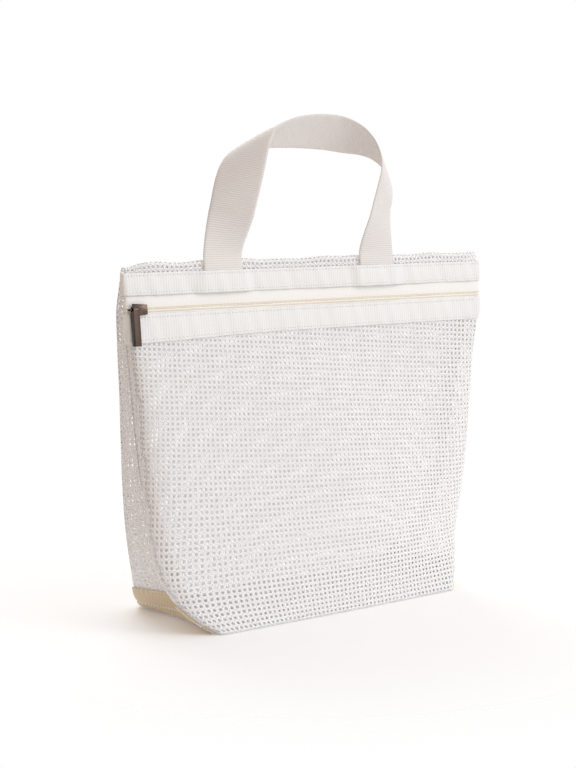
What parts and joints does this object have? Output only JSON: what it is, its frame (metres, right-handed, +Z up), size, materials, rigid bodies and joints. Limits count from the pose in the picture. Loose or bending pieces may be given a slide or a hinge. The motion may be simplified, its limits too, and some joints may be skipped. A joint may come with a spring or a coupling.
{
  "type": "mesh shower caddy bag",
  "caption": "White net shower bag with a boxed base, a zip across the front between woven ribbons, and a webbing handle.",
  "frame": {"origin": "middle of the base panel's underside, on the surface that the bag stands on", "axes": "+Z up, +X along the zip from its closed end to its open end, -Y out of the front"},
  "size_m": [0.3162, 0.1042, 0.3383],
  "materials": {
    "net": "satin",
    "ribbon": "matte",
    "zip_tape": "matte",
    "zip_coil": "satin",
    "gunmetal": "gloss",
    "webbing": "satin",
    "binding": "matte"
  },
  "bodies": {
    "bag": {"mesh_front_panel": "net", "mesh_back_panel": "net", "mesh_base_panel": "net", "mesh_side_left": "net", "mesh_side_right": "net", "mesh_top_band": "net", "ribbon_upper": "ribbon", "ribbon_lower": "ribbon", "zip_tape_upper": "zip_tape", "zip_tape_lower": "zip_tape", "zip_coil_upper": "zip_coil", "zip_coil_lower": "zip_coil", "handle_end_left": "webbing", "handle_end_right": "webbing", "side_binding_left": "binding", "side_binding_right": "binding", "corner_binding_left": "binding", "corner_binding_right": "binding"},
    "slider": {"zip_slider": "gunmetal"},
    "pull": {"zip_pull_tab": "gunmetal"},
    "handle": {"handle_strap": "webbing"}
  },
  "joints": [
    {"name": "slider_run", "type": "slide", "parent": "bag", "child": "slider", "axis": [1, 0, 0], "range_m": [0, 0.29]},
    {"name": "pull_swing", "type": "hinge", "parent": "slider", "child": "pull", "pos_m": [-0.14296, -0.0126, 0.21156], "axis": [-1, 0, 0], "range_deg": [0, 165]},
    {"name": "handle_swing", "type": "hinge", "parent": "bag", "child": "handle", "pos_m": [0, -0.00571, 0.24311], "axis": [1, 0, 0], "range_deg": [-95, 120], "stiffness_Nm_per_rad": 0.06}
  ]
}
